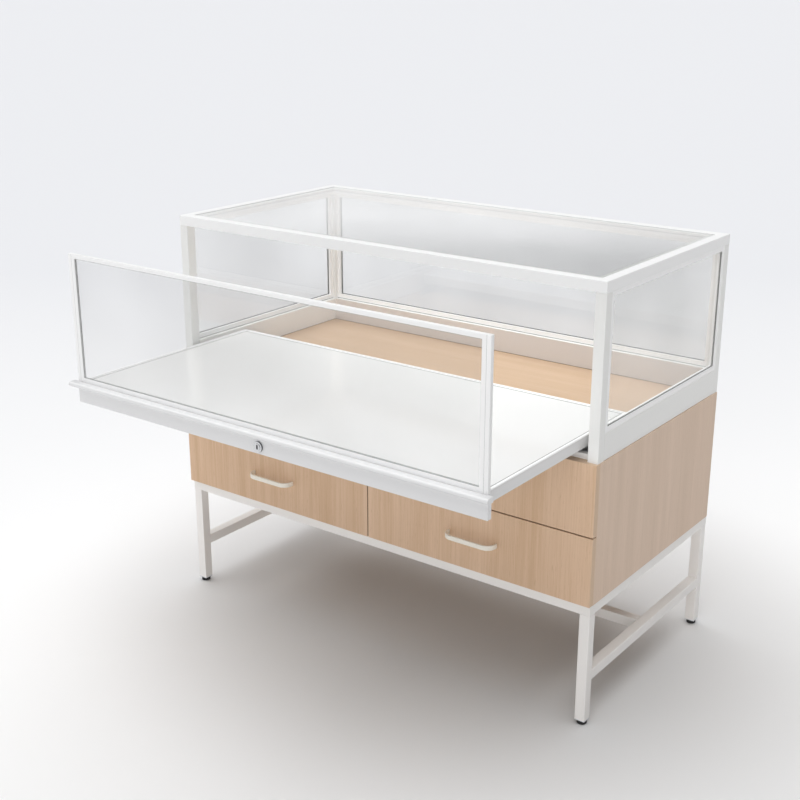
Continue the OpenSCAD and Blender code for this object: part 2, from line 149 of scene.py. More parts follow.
# painted light falloff: the paper darker towards the far end and towards the right front
# how far a spot lies behind the counter, seen from the front right corner, and how far towards the right front
behind = add(floor_paint, "VectorMath", {0: place.outputs["Object"], 1: (-0.6, 0.8, 0.0)}, operation="DOT_PRODUCT")
fade = add(floor_paint, "MapRange", {"Value": behind.outputs["Value"], "From Min": 0.0, "From Max": FADE_FAR})
tone = add(floor_paint, "ValToRGB", {"Fac": fade.outputs[0]})
tone.color_ramp.elements[0].color = linear("F6F6F6")
tone.color_ramp.elements[1].color = linear("E6E7EA")
aside = add(floor_paint, "VectorMath", {0: place.outputs["Object"], 1: (0.75, -0.66, 0.0)}, operation="DOT_PRODUCT")
dim = add(floor_paint, "MapRange", {"Value": aside.outputs["Value"], "From Min": 0.0, "From Max": FADE_ASIDE})
both = add(floor_paint, "Mix", {0: dim.outputs[0], 6: tone.outputs[0], 7: linear("E0E0E0")}, data_type="RGBA")
# painted shadow: the floor's colour multiplied down to EEEEEE round the counter, fading out towards its edge
spot = add(floor_paint, "Mapping", {"Vector": place.outputs["Object"], "Location": PAINTED_SHADOW_SHIFT, "Scale": PAINTED_SHADOW_SCALE})
away = add(floor_paint, "VectorMath", {0: spot.outputs[0]}, operation="LENGTH")
grey = add(floor_paint, "MapRange", {"Value": away.outputs["Value"], "From Min": PAINTED_SHADOW_FULL, "From Max": PAINTED_SHADOW_END,
                                     "To Min": 1.0, "To Max": 0.0}, interpolation_type="SMOOTHSTEP")
painted_shadow = add(floor_paint, "Mix", {0: grey.outputs[0], 6: both.outputs[2], 7: linear("EEEEEE")},
           data_type="RGBA", blend_type="MULTIPLY")
matt = add(floor_paint, "BsdfDiffuse", {"Color": painted_shadow.outputs[2]})
finish_surface(floor_paint, out, matt.outputs[0])
floor.data.materials.append(floor_paint)
print("floor", FLOOR_SIZE, "m wide")

# %% [markdown]
# ## The lamps
#
# A broad soft lamp above the counter, a little to the left, throws the wide shadow under it, and a weaker one in
# front keeps the white fronts bright. Suns are used and not area lamps, because their light is the same over the
# whole floor and over the counter, so the render stays at a plain level from end to end.

# %% Lamps
def sun(name, strength, spread, pointing):
    """A far lamp: strength is its light on a face square to it, spread how broad it looks, in degrees."""
    data = bpy.data.lights.new(name, "SUN")
    data.energy = strength
    data.angle = radians(spread)
    lamp = bpy.data.objects.new(name, data)
    lamp.rotation_euler = Vector(pointing).to_track_quat("-Z", "Y").to_euler()
    bpy.context.scene.collection.objects.link(lamp)
    return lamp


sun("key_above_left", 3.0, 90, (0.17, 0.02, -1.0))
fill = sun("fill_front", 1.5, 50, (-0.42, 1.0, -0.07))
# its disc would glare in the panes when they are seen from behind
fill.visible_glossy = False
fill.visible_transmission = False
print("two lamps")

# %% [markdown]
# ## The air, and what gloss mirrors
#
# The world has three faces. Its light on the counter is faint and even, and only lifts the shadows. The camera sees
# a flat pale backdrop. Gloss and glass see a studio wall whose brightness falls in two soft steps with height, and
# over it a narrow bright strip, which is what gives the deck and the panes their soft bands. White boards round the
# counter would do the same, but they would stand in the way of other views. Light Path tells the three rays apart.

# %% Air and what gloss mirrors
# each step: from this height to that one, as sines of the angle above the floor, and the strength at each end
LOW_WALL = (0.180, 0.218, 1.15, 0.62)
HIGH_WALL = (0.240, 0.290, 0.0, -0.27)
STRIP_RISE = (0.334, 0.345, 0.0, 1.4)
STRIP_FALL = (0.347, 0.372, 1.0, 0.0)
AMBIENT = 0.075

world = bpy.data.worlds.new("soft_studio_air")
world.use_nodes = True
world.node_tree.nodes.clear()
bpy.context.scene.world = world
looking = add(world, "TexCoord").outputs["Generated"]
height = add(world, "SeparateXYZ", {0: looking}).outputs["Z"]


def by_height(start, stop, first, second):
    """A soft step of strength over the height at which a ray looks."""
    return add(world, "MapRange", {"Value": height, "From Min": start, "From Max": stop, "To Min": first,
                                   "To Max": second}, interpolation_type="SMOOTHSTEP").outputs[0]


wall = add(world, "Math", {0: by_height(*LOW_WALL), 1: by_height(*HIGH_WALL)}, operation="ADD")
lit = add(world, "Math", {0: by_height(*STRIP_RISE), 1: by_height(*STRIP_FALL), 2: wall.outputs[0]},
          operation="MULTIPLY_ADD")
mirrored = add(world, "Background", {"Color": linear("F1F2F4"), "Strength": lit.outputs[0]})
ambient = add(world, "Background", {"Color": linear("FAFBFF"), "Strength": AMBIENT})
backdrop = add(world, "Background", {"Color": linear("E6E7E9")})
rays = add(world, "LightPath")
glossy = add(world, "Math", {0: rays.outputs["Is Glossy Ray"], 1: rays.outputs["Is Transmission Ray"]},
             operation="MAXIMUM")
choice = add(world, "MixShader", {0: glossy.outputs[0], 1: ambient.outputs[0], 2: mirrored.outputs[0]})
picture = add(world, "MixShader", {0: rays.outputs["Is Camera Ray"], 1: choice.outputs[0], 2: backdrop.outputs[0]})
add(world, "OutputWorld", {"Surface": picture.outputs[0]})
print("world", world.name)

# %% [markdown]
# ## Powder coated steel
#
# The stand, the posts, the rails and the front frame are square steel tube with a white polyester powder coat. It is
# sprayed as dust and baked, so it flows into a satin skin with a faint orange peel, about 1.5 mm from bump to bump,
# and a noise bump of that size does it. Roughness drifts slightly so that long tubes don't look like one flat strip.
# The glazing channels are the whitest, and the top rails and the front frame come next: these are lighter copies
# of the white of posts and skirts, which paint the light that their faces catch. The stand is a touch warmer. The
# handles are cream.

# %% Powder coat
PEEL_MM = 1.5
CLOUD_SCALE = 9.0  # drifts of roughness about 11 cm wide


def powder_coat(name, colour, rough):
    """A baked coat of one colour, with the roughness round which it drifts."""
    material, out = new_material(name)
    where = add(material, "TexCoord").outputs["Object"]
    peel = add(material, "TexNoise", {"Vector": where, "Scale": 1000 / PEEL_MM, "Detail": 2.0})
    bump = add(material, "Bump", {"Height": peel.outputs["Fac"], "Strength": 0.08, "Distance": 0.0002})
    drift = add(material, "TexNoise", {"Vector": where, "Scale": CLOUD_SCALE, "Detail": 3.0})
    satin = add(material, "MapRange", {"Value": drift.outputs["Fac"], "To Min": rough - 0.05, "To Max": rough + 0.05})
    skin = add(material, "BsdfPrincipled", {
        "Base Color": linear(colour), "Roughness": satin.outputs[0], "Normal": bump.outputs[0]})
    skin.inputs["IOR"].default_value = 1.5
    return finish_surface(material, out, skin.outputs[0])


powder_white = powder_coat("powder_coat_satin_white", "EFEFED", 0.38)
# the channels' and the rails' whites are lighter copies of the plain white, and paint the light on their faces
brightest_lit_white = powder_coat("powder_coat_painted_light_brightest", "FCFCFC", 0.34)
rails_lit_white = powder_coat("powder_coat_painted_light_rails", "F7F7F7", 0.36)
stand_white = powder_coat("powder_coat_warm_white", "F2EFEC", 0.4)
handle_cream = powder_coat("powder_coat_satin_cream", "F3EEE2", 0.34)

# %% [markdown]
# ## Oak laminate
#
# The cabinet is board with a light oak laminate, a printed paper under a matt film. On the fronts and sides the
# grain runs up and down in fine streaks a millimetre or two wide and a hand long, over slow drifts in tone, with
# short dark pores between them. Stretching noise along one axis gives such streaks at any size, and because it is
# solid noise, neighbouring boards never repeat. The sides are a paler, greyer copy of the fronts' print, which paints
# the light on them, the edge band is a print of its own, and the floor of the case is cut with its grain across the
# width, in a tone that paints the light that reaches it through the glass.

# %% Oak laminate
STREAK_MM = 2.2
STREAK_LONG_MM = 160.0
DRIFT_MM = 34.0
DRIFT_LONG_MM = 700.0
PORE_MM = 0.9  # real pores are 0.2 mm wide; at 0.9 mm they still show in the picture
PORE_LONG_MM = 22.0


def oak(name, pale, deep, pore, along):
    """along: the axis of the grain, 0 for x, 1 for y, 2 for z."""
    material, out = new_material(name)
    where = add(material, "TexCoord").outputs["Object"]

    def stretched(width, length, detail, rough):
        """Noise in streaks of this width and length in millimetres."""
        scale = [1000 / width] * 3
        scale[along] = 1000 / length
        mapped = add(material, "Mapping", {"Vector": where, "Scale": scale})
        return add(material, "TexNoise", {"Vector": mapped.outputs[0], "Scale": 1.0, "Detail": detail,
                                          "Roughness": rough}).outputs["Fac"]

    streaks = stretched(STREAK_MM, STREAK_LONG_MM, 3.0, 0.6)
    drifts = stretched(DRIFT_MM, DRIFT_LONG_MM, 4.0, 0.55)
    both = add(material, "Mix", {0: 0.55, 2: streaks, 3: drifts}, data_type="FLOAT")
    wood = add(material, "ValToRGB", {"Fac": both.outputs[0]})
    wood.color_ramp.elements[0].position = 0.36
    wood.color_ramp.elements[0].color = linear(deep)
    wood.color_ramp.elements[1].position = 0.62
    wood.color_ramp.elements[1].color = linear(pale)
    pores = stretched(PORE_MM, PORE_LONG_MM, 1.0, 0.5)
    dark = add(material, "MapRange", {"Value": pores, "From Min": 0.66, "From Max": 0.76, "To Max": 0.4})
    colour = add(material, "Mix", {0: dark.outputs[0], 6: wood.outputs[0], 7: linear(pore)}, data_type="RGBA")
    film = add(material, "MapRange", {"Value": streaks, "To Min": 0.5, "To Max": 0.62})
    bump = add(material, "Bump", {"Height": pores, "Strength": 0.12, "Distance": 0.0002}, invert=True)
    board = add(material, "BsdfPrincipled", {
        "Base Color": colour.outputs[2], "Roughness": film.outputs[0], "Normal": bump.outputs[0]})
    board.inputs["Specular IOR Level"].default_value = 0.35
    return finish_surface(material, out, board.outputs[0])


oak_front = oak("oak_laminate_upright", "DEBFA3", "CDAB8A", "A6825F", 2)
# the sides and the case floor are copies of the oak print in tones that paint the light on them
side_oak_painted_light = oak("painted_light_oak_side_print", "E2CAB6", "D8C0AB", "BEA48C", 2)
case_floor_oak_painted_light = oak("painted_light_oak_floor_print", "CCB197", "C4A88C", "A88668", 0)
oak_band = oak("oak_edge_band", "DABFA4", "CEB297", "A98A6B", 2)

# %% [markdown]
# ## White board
#
# The deck, fascia and nose are board with a gloss white lacquer, sprayed and polished, so they mirror the frame and
# the air a little. A clear coat over a white base gives that mirror without making the white itself shiny. The one
# lacquer comes in copies that paint light and shade: the deck's top is the whitest, for the light from above, while
# its edges, the fascia and the nose are a little greyer, for their shade. The drawer boxes are plainer: board faced
# with matt white melamine paper, which has a tiny pearl grain.

# %% Lacquer and melamine
RIPPLE_SCALE = 14.0  # the polished coat waves over about 7 cm
PEARL_MM = 1.2


def gloss_lacquer(name, colour):
    """A polished white under a clear coat."""
    material, out = new_material(name)
    where = add(material, "TexCoord").outputs["Object"]
    ripple = add(material, "TexNoise", {"Vector": where, "Scale": RIPPLE_SCALE, "Detail": 2.0})
    bump = add(material, "Bump", {"Height": ripple.outputs["Fac"], "Strength": 0.015, "Distance": 0.002})
    body = add(material, "BsdfPrincipled", {"Base Color": linear(colour), "Roughness": 0.3,
                                            "Normal": bump.outputs[0], "Coat Normal": bump.outputs[0]})
    body.inputs["Coat Weight"].default_value = 1.0
    body.inputs["Coat Roughness"].default_value = 0.12
    return finish_surface(material, out, body.outputs[0])


# copies of one white lacquer that paint light and shade: greyer for the fascia and nose, whitest for the deck's top,
# greyer for its edges
lacquer_shaded_copy = gloss_lacquer("shaded_copy_of_gloss_lacquer", "E2E2E3")
lacquer_lit_copy = gloss_lacquer("lit_copy_of_gloss_lacquer", "F5F5F4")
lacquer_shaded_edge_copy = gloss_lacquer("shaded_edge_copy_of_gloss_lacquer", "DCDCDC")

melamine_white, out = new_material("matt_white_melamine")
where = add(melamine_white, "TexCoord").outputs["Object"]
pearl = add(melamine_white, "TexVoronoi", {"Vector": where, "Scale": 1000 / PEARL_MM})
bump = add(melamine_white, "Bump", {"Height": pearl.outputs["Distance"], "Strength": 0.15, "Distance": 0.0002})
tint = add(melamine_white, "TexNoise", {"Vector": where, "Scale": 6.0, "Detail": 4.0})
pale = add(melamine_white, "ValToRGB", {"Fac": tint.outputs["Fac"]})
pale.color_ramp.elements[0].color = linear("E4E3DF")
pale.color_ramp.elements[1].color = linear("EEEDEA")
body = add(melamine_white, "BsdfPrincipled", {"Base Color": pale.outputs[0], "Roughness": 0.55,
                                              "Normal": bump.outputs[0]})
finish_surface(melamine_white, out, body.outputs[0])

# %% [markdown]
# ## Glass
#
# The panes are clear float glass with polished edges, 5 mm thick, and 6 mm on top. Float glass is cast on molten tin,
# so it is flat and has no texture, and its looks are in the index of refraction, 1.5, and a slight tint with a faint
# haze, as wiping leaves it. The top pane is low iron glass, which is clearer, and the front pane has the least haze.
# Light has to pass through to the deck below, which refraction in a path tracer does slowly, so rays that only ask
# for shadow go straight through, at the share that clear glass lets pass.

# %% Float glass
HAZE_SCALE = 3.2  # clouds of haze about 30 cm wide
GLASS_IOR = 1.5


def float_glass(name, pale, deep):
    """pale and deep: what a pane lets through where it is cleanest and where it is haziest."""
    material, out = new_material(name)
    paths = add(material, "LightPath")
    where = add(material, "TexCoord").outputs["Object"]
    haze = add(material, "TexNoise", {"Vector": where, "Scale": HAZE_SCALE, "Detail": 1.0, "Roughness": 0.4})
    tint = add(material, "ValToRGB", {"Fac": haze.outputs["Fac"]})
    tint.color_ramp.elements[0].position = 0.38
    tint.color_ramp.elements[0].color = linear(deep)
    tint.color_ramp.elements[1].position = 0.62
    tint.color_ramp.elements[1].color = linear(pale)
    clean = add(material, "MapRange", {"Value": haze.outputs["Fac"], "To Min": 0.0, "To Max": 0.015})
    glass = add(material, "BsdfPrincipled", {"Base Color": tint.outputs[0], "Roughness": clean.outputs[0]})
    glass.inputs["IOR"].default_value = GLASS_IOR
    glass.inputs["Transmission Weight"].default_value = 1.0
    through = add(material, "BsdfTransparent", {"Color": linear("F2F3F3")})
    mixed = add(material, "MixShader", {0: paths.outputs["Is Shadow Ray"], 1: glass.outputs[0], 2: through.outputs[0]})
    return finish_surface(material, out, mixed.outputs[0])


glass_case = float_glass("clear_float_glass", "F5F5F4", "E8E8E7")
glass_top = float_glass("low_iron_float_glass", "F6F6F5", "ECECEB")
glass_front = float_glass("front_clear_float_glass", "F5F5F5", "ECECEC")

# %% [markdown]
# ## Small metal, rubber and plastic
#
# Slides and runners are zinc plated steel strip, which shows a dull blue grey with drawn lines along its length. The
# lock is nickel plated and polished on its face, and its side is a darker copy of the nickel that paints its shade.
# Gaskets are soft grey PVC, joints are closed with grey sealant, the feet are black nylon moulded in a spark-eroded
# mould, so their skin has a fine matt grain, and the leg inserts are grey polyethylene. Some of the colours below
# paint shade in corners, in gaps, inside the deck's rim and in the key slot, and one paints light on a skirt. Most of
# them show as thin lines, so their grain is a light bump.

# %% Zinc and nickel
DRAWN_MM = 0.8  # the drawing lines and the lathe's are finer in fact, and as coarse as this to show
SPANGLE_MM = 9.0

zinc_strip, out = new_material("zinc_plated_strip")
where = add(zinc_strip, "TexCoord").outputs["Object"]
mapped = add(zinc_strip, "Mapping", {"Vector": where, "Scale": (1000 / DRAWN_MM, 4.0, 1000 / DRAWN_MM)})
drawn = add(zinc_strip, "TexNoise", {"Vector": mapped.outputs[0], "Scale": 1.0, "Detail": 3.0})
spangle = add(zinc_strip, "TexVoronoi", {"Vector": where, "Scale": 1000 / SPANGLE_MM})
grey = add(zinc_strip, "ValToRGB", {"Fac": spangle.outputs["Distance"]})
grey.color_ramp.elements[0].color = linear("B9BEC4")
grey.color_ramp.elements[1].color = linear("CFD3D7")
rough = add(zinc_strip, "MapRange", {"Value": drawn.outputs["Fac"], "To Min": 0.28, "To Max": 0.48})
body = add(zinc_strip, "BsdfPrincipled", {"Base Color": grey.outputs[0], "Roughness": rough.outputs[0]})
body.inputs["Metallic"].default_value = 1.0
finish_surface(zinc_strip, out, body.outputs[0])

nickel, out = new_material("polished_nickel_plate")
where = add(nickel, "TexCoord").outputs["Object"]
smear = add(nickel, "TexNoise", {"Vector": where, "Scale": 160.0, "Detail": 3.0})
rough = add(nickel, "MapRange", {"Value": smear.outputs["Fac"], "To Min": 0.16, "To Max": 0.3})
body = add(nickel, "BsdfPrincipled", {"Base Color": linear("D2D3D5"), "Roughness": rough.outputs[0]})
body.inputs["Metallic"].default_value = 1.0
finish_surface(nickel, out, body.outputs[0])

# a darker copy of the nickel that paints the shade on the lock's side
lock_shaded_side, out = new_material("nickel_painted_shade_side")
where = add(lock_shaded_side, "TexCoord").outputs["Object"]
lathe = add(lock_shaded_side, "TexNoise", {"Vector": where, "Scale": 1000 / DRAWN_MM, "Detail": 2.0})
rough = add(lock_shaded_side, "MapRange", {"Value": lathe.outputs["Fac"], "To Min": 0.3, "To Max": 0.45})
body = add(lock_shaded_side, "BsdfPrincipled", {"Base Color": linear("77797B"), "Roughness": rough.outputs[0]})
body.inputs["Metallic"].default_value = 1.0
finish_surface(lock_shaded_side, out, body.outputs[0])


# %% Rubber and plastics
def plastic(name, colour, rough, grain_mm, depth):
    """A moulded or drawn plastic: the size of its grain in millimetres and how strongly it bumps."""
    material, out = new_material(name)
    where = add(material, "TexCoord").outputs["Object"]
    grain = add(material, "TexNoise", {"Vector": where, "Scale": 1000 / grain_mm, "Detail": 2.0})
    bump = add(material, "Bump", {"Height": grain.outputs["Fac"], "Strength": depth, "Distance": 0.0002})
    dull = add(material, "MapRange", {"Value": grain.outputs["Fac"], "To Min": rough - 0.06, "To Max": rough + 0.06})
    body = add(material, "BsdfPrincipled", {"Base Color": linear(colour), "Roughness": dull.outputs[0],
                                            "Normal": bump.outputs[0]})
    return finish_surface(material, out, body.outputs[0])


gasket_grey = plastic("soft_grey_pvc", "9A9C9B", 0.55, 1.0, 0.1)
seal_dark = plastic("dark_grey_pvc", "7E807D", 0.55, 1.0, 0.1)
# grey for the stiles' joint lines, and painted shade in the beads under the channels and the line under the rails
joint_and_shade_grey = plastic("pale_grey_joint_and_painted_shade", "ADAEAC", 0.55, 1.0, 0.1)
# a warm grey whose darkness paints the shade in the corner round the case's floor
bead_shade_brown = plastic("painted_shade_warm_sealant", "8E7F70", 0.55, 1.0, 0.1)
# a dark brown that paints the shade in the gaps between the fronts
gap_shade_brown = plastic("brown_painted_gap_shade", "5A4636", 0.8, 1.0, 0.2)
# foil tones that paint the shade on the rear skirt and the light on the left one
foil_shade_grey = plastic("matt_foil_painted_shade", "DCD6D2", 0.6, 1.0, 0.1)
foil_light_white = plastic("matt_foil_painted_light", "F8F6F3", 0.6, 1.0, 0.1)
# a grey that paints the shadow inside the deck's rim
rim_shadow_grey = plastic("pale_grey_painted_rim_shadow", "969897", 0.5, 1.0, 0.1)
foot_nylon = plastic("spark_grained_black_nylon", "1B1B1C", 0.6, 0.8, 0.35)
insert_grey = plastic("grey_polyethylene", "DDE0E4", 0.5, 1.0, 0.15)
key_slot_black = plastic("shadow_black_key_slot", "0B0B0C", 0.7, 0.6, 0.1)

# %% [markdown]
# ## Finishes on the measured solids
#
# Each measured solid names a material slot in the imported record, so a table from slot to finish dresses them all in
# one loop. A few then get a finish of their own: another glass, another cut of the oak, a warmer white on the stand,
# and copies of the oak and of the white in tones that paint the light on them.

# %% Finishes for the measured solids
finishes = {"powder_white": powder_white, "insert_plastic": insert_grey, "foot_black": foot_nylon,
            "oak_laminate": oak_front, "drawer_board": melamine_white, "handle_paint": handle_cream,
            "zinc_steel": zinc_strip, "clear_glass": glass_case, "white_lacquer": lacquer_shaded_copy,
            "lock_chrome": nickel}
for row in frame["record"]["subparts"]:
    node = nodes[row["node"]]
    node.data.materials.clear()
    node.data.materials.append(finishes[row["material_slot"]])
# the sides take the oak's paler copy, which paints the light on them
for name in ("cabinet_side_left", "cabinet_side_right"):
    nodes[name].data.materials[0] = side_oak_painted_light
# the case floor and the cabinet's underside take the oak in a tone that paints the light reaching the case floor
for name in ("cabinet_top", "cabinet_bottom"):
    nodes[name].data.materials[0] = case_floor_oak_painted_light
nodes["top_glass"].data.materials[0] = glass_top
nodes["display_glass"].data.materials[0] = glass_front
# the channels and the top rails take the lighter copies of the white, which paint the light on them
nodes["glazing_channels"].data.materials[0] = brightest_lit_white
for side in ("front", "rear", "left", "right"):
    nodes["top_rail_" + side].data.materials[0] = rails_lit_white
for name in nodes:
    if name.startswith(("leg_", "base_rail_", "stretcher_")):
        nodes[name].data.materials[0] = stand_white
print(len(nodes), "solids have their finish")

# %% [markdown]
# ## Boards with eased edges
#
# A sawn board would catch no light on its edges. Laminate fronts get a glued edge band, 1 mm thick, whose corners are
# eased to less than a millimetre, and that hairline highlight tells the eye that it is a real board. Each front
# starts as a cube at the size of its measured solid, gets its small bevel in edit mode, and its narrow faces take the
# edge band's own print. A bevel modifier would give the same shape, but in edit mode one operator does all edges.

# %% Helpers for cubes, bevels and finishes
FLAT = 0.9  # a face whose normal lies this near an axis is one of the flat ones, not of a bevel
BOARD_EASE = 0.0008


def start_cube(name, low, high):
    """A cube from one corner to the other, alone in the selection, in edit mode."""
    bpy.ops.object.select_all(action="DESELECT")
    middle = [(a + b) / 2 for a, b in zip(low, high)]
    bpy.ops.mesh.primitive_cube_add(size=1, location=middle)
    piece = bpy.context.object
    piece.name = name
    piece.scale = [b - a for a, b in zip(low, high)]
    bpy.ops.object.transform_apply(location=True, rotation=True, scale=True)
    bpy.ops.object.mode_set(mode="EDIT")
    return piece


def bevel_all(offset, segments=2):
    """The same small bevel on every edge, and back to object mode."""
    bpy.ops.mesh.select_all(action="SELECT")
    bpy.ops.mesh.bevel(offset=offset, segments=segments, affect="EDGES")
    bpy.ops.object.mode_set(mode="OBJECT")


def two_finishes(piece, first, second, test):
    """The first finish where the test on a face's normal holds, and the second on the other faces."""
    for finish in (first, second):
        piece.data.materials.append(finish)
    for polygon in piece.data.polygons:
        polygon.material_index = 0 if test(polygon.normal) else 1


def dress(piece, material, body, slot, *replaced):
    """The finish, unless the piece has its own, the body it rides on and the solids it stands for."""
    if not piece.data.materials:
        piece.data.materials.append(material)
    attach(piece, body)
    if replaced:
        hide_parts(*replaced)
    print(piece.name, len(piece.data.polygons), "faces on", body)


def eased_board(node, body, face, band, thin):
    """thin: the axis across the board, 0 for x, 1 for y, 2 for z; every other side is an edge with its band."""
    piece = start_cube(node + "_board", *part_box(node))
    bevel_all(BOARD_EASE)
    two_finishes(piece, face, band, lambda normal: abs(normal[thin]) > FLAT)
    dress(piece, face, body, "oak_laminate", node)


print("boards are eased by", BOARD_EASE, "m")

# %% The fronts and the sides
for node, body in (("upper_fascia", "counter"), ("drawer_left_front", "drawer_left"),
                   ("drawer_right_front", "drawer_right")):
    eased_board(node, body, oak_front, oak_band, 1)
for node in ("cabinet_side_left", "cabinet_side_right"):
    eased_board(node, "counter", side_oak_painted_light, side_oak_painted_light, 0)

# %% [markdown]
# ## The deck and its rim
#
# The white deck is a lacquered board with a thin raised strip all round, so that goods don't roll off. The board is
# an eased board again. The strip is a flat ring, and a ring is quickest from one plane: inset it, delete the middle,
# and pull what is left up. The same helper then makes every gasket, since those are rings in other planes. The
# strip and a white border inside it take the brightest white, which paints the light along the rim, and a fine
# grey line inside the border paints the rim's shadow.

# %% Helpers for flat rings
SHARP = radians(35)  # edges that bend more than this are eased


def flat_ring(name, low, high, axis, width, ease):
    """A ring that fills a box: axis is the one it looks along, width the breadth of its strip."""
    bpy.ops.object.select_all(action="DESELECT")
    middle = [(a + b) / 2 for a, b in zip(low, high)]
    middle[axis] = low[axis]
    turn = [(0, pi / 2, 0), (-pi / 2, 0, 0), (0, 0, 0)][axis]
    bpy.ops.mesh.primitive_plane_add(size=1, location=middle, rotation=turn)
    piece = bpy.context.object
    piece.name = name
    size = [b - a for a, b in zip(low, high)]
    piece.scale = [(size[2], size[1], 1), (size[0], size[2], 1), (size[0], size[1], 1)][axis]
    bpy.ops.object.transform_apply(location=True, rotation=True, scale=True)
    bpy.ops.object.mode_set(mode="EDIT")
    bpy.ops.mesh.select_all(action="SELECT")
    bpy.ops.mesh.inset(thickness=width, depth=0)
    bpy.ops.mesh.delete(type="FACE")
    bpy.ops.mesh.select_all(action="SELECT")
    pull = [0, 0, 0]
    pull[axis] = size[axis]
    bpy.ops.mesh.extrude_region_move(TRANSFORM_OT_translate={"value": pull})
    bpy.ops.mesh.select_all(action="SELECT")
    bpy.ops.mesh.normals_make_consistent(inside=False)
    bpy.ops.object.mode_set(mode="OBJECT")
    round_edges(piece, ease)
    return piece


def round_edges(piece, ease, segments=2):
    """A bevel on every sharp edge, applied, and smooth shading up to it."""
    bevel = piece.modifiers.new("eased", "BEVEL")
    bevel.width = ease
    bevel.segments = segments
    bevel.limit_method = "ANGLE"
    bevel.angle_limit = SHARP
    bpy.ops.object.modifier_apply(modifier="eased")
    bpy.ops.object.shade_smooth_by_angle(angle=SHARP)


print("edges that bend by more than", round(SHARP, 2), "rad are eased")

# %% Deck
DECK_TOP = 0.675
DECK_EASE = 0.001
RIM_WIDE, RIM_SINK = 0.005, 0.0005

deck_low, deck_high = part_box("display_deck")
deck = start_cube("display_deck_board", deck_low, (deck_high.x, deck_high.y, DECK_TOP))
bevel_all(DECK_EASE, 3)
# the deck's top in the lit copy and its edges in a greyer one: painted light and shade
two_finishes(deck, lacquer_lit_copy, lacquer_shaded_edge_copy, lambda normal: normal.z > FLAT)
dress(deck, lacquer_lit_copy, "display", "white_lacquer", "display_deck")

rim = flat_ring("display_deck_rim", (deck_low.x, deck_low.y, DECK_TOP - RIM_SINK), deck_high, 2, RIM_WIDE, 0.0008)
# the rim in the brightest white, which paints the light along it
dress(rim, brightest_lit_white, "display", "white_lacquer")

# %% The white border inside the rim, painted light, and the fine grey line inside that, painted shadow
BORDER, LINE = 0.0035, 0.0022
LINE_SINK, LINE_PROUD, LINE_EASE = 0.0003, 0.0005, 0.0002  # sunk a little, so that no gap shows under them

for name, inside, wide, paint in (("display_deck_lit_border", RIM_WIDE, BORDER, brightest_lit_white),
                                  ("display_deck_shadow_line", RIM_WIDE + BORDER, LINE, rim_shadow_grey)):
    ring = flat_ring(name, (deck_low.x + inside, deck_low.y + inside, DECK_TOP - LINE_SINK),
                     (deck_high.x - inside, deck_high.y - inside, DECK_TOP + LINE_PROUD), 2, wide, LINE_EASE)
    dress(ring, paint, "display", "white_lacquer")

# %% [markdown]
# ## The front frame
#
# The frame that rides on the nose is 10 mm deep and 20 mm wide at its stiles, and a fine line runs down the middle of
# each stile. So it is built as the maker would: two full-height bars outside, a mitred ring of rails and glazing
# beads between them, and every arris eased, which leaves the line as a small groove where two eased edges meet.
# A texture could draw that line, but a groove keeps catching the light when the view moves.

# %% Front frame
STILE, RAIL = 0.020, 0.010
BAR = STILE / 2
RING_EASE, STILE_EASE = 0.0007, 0.0011


def join_all(pieces, name):
    """One object of this name from several."""
    bpy.ops.object.select_all(action="DESELECT")
    for piece in pieces:
        piece.select_set(True)
    bpy.context.view_layer.objects.active = pieces[0]
    bpy.ops.object.join()
    pieces[0].name = name
    return pieces[0]


frame_low, frame_high = low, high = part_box("display_frame")
bars = [flat_ring("display_frame_bars", (low.x + BAR, low.y, low.z), (high.x - BAR, high.y, high.z), 1, BAR,
                  RING_EASE)]
for left in (low.x, high.x - BAR):
    bars.append(start_cube("stile_bar", (left, low.y, low.z), (left + BAR, high.y, high.z)))
    bpy.ops.object.mode_set(mode="OBJECT")
    round_edges(bars[-1], STILE_EASE, 3)
# the frame takes the rails' lighter copy of the white, painted light
dress(join_all(bars, "display_frame_bars"), rails_lit_white, "display", "powder_white", "display_frame")

# %% The joint lines of the stiles
SEAM = 0.0006  # half its breadth
SEAM_IN, SEAM_DEEP = 0.0003, 0.0010  # how far inside the stile's faces it starts, and how deep it goes
SEAM_SHORT, SEAM_EASE = 0.0005, 0.0002

seams = []
for x in (low.x + BAR, high.x - BAR):
    for start in (low.y + SEAM_IN, high.y - SEAM_IN - SEAM_DEEP):
        seams.append(start_cube("stile_seam", (x - SEAM, start, low.z + SEAM_SHORT),
                                (x + SEAM, start + SEAM_DEEP, high.z - SEAM_SHORT)))
        bevel_all(SEAM_EASE)
dress(join_all(seams, "stile_seams"), joint_and_shade_grey, "display", "powder_white")

# %% [markdown]
# ## Handles
#
# Each drawer has a bow of flat steel bar, 4.5 mm thick and 11.5 mm high, bent round in two wide corners and painted
# cream white. A curve with a profile would do it too, but sweeping the bar's own end section shows where each bend
# starts: out from the drawer, a quarter turn, straight across, a quarter turn, and back. The section is swept as
# an open loop of edges, its two ends are filled at last, and a bevel softens the bar's four long edges.

# %% Handle
BOW_THICK, BOW_BEND = 0.0045, 0.024  # the bar's thickness and the radius of its corners' outer side
BEND_STEPS = 14
BOW_EASE = 0.0014
SAME_PLACE = 0.00001


def sweep(value):
    """Pulls what is selected out by a distance along each axis."""
    bpy.ops.mesh.extrude_region_move(TRANSFORM_OT_translate={"value": value})


